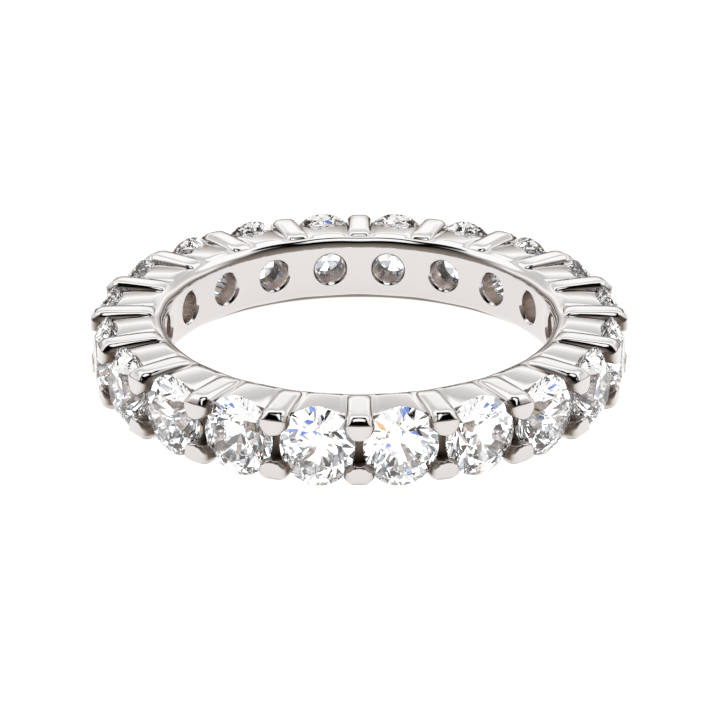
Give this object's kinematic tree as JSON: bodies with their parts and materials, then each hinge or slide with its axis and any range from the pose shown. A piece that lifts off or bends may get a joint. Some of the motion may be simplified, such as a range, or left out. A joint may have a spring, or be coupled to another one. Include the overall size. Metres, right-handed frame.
{
  "type": "eternity ring",
  "caption": "Full eternity ring lying on its side: a single row of brilliant-cut stones all the way round, held by shared rounded claws, with drilled light holes in the finger wall.",
  "frame": {"origin": "on the finger axis, level with the lowest edges of the stones, on which the ring rests", "axes": "+Z along the finger axis, up as the ring lies on its side; a claw faces -Y, towards the camera"},
  "size_m": [0.0236, 0.0236, 0.0036],
  "materials": {
    "white_gold": "polished, rhodium-plated white gold",
    "diamond": "colourless stone, polished flat facets"
  },
  "bodies": {
    "root": {"setting": "white_gold", "stone_01": "diamond", "stone_02": "diamond", "stone_03": "diamond", "stone_04": "diamond", "stone_05": "diamond", "stone_06": "diamond", "stone_07": "diamond", "stone_08": "diamond", "stone_09": "diamond", "stone_10": "diamond", "stone_11": "diamond", "stone_12": "diamond", "stone_13": "diamond", "stone_14": "diamond", "stone_15": "diamond", "stone_16": "diamond", "stone_17": "diamond", "stone_18": "diamond", "stone_19": "diamond", "stone_20": "diamond"}
  },
  "joints": []
}
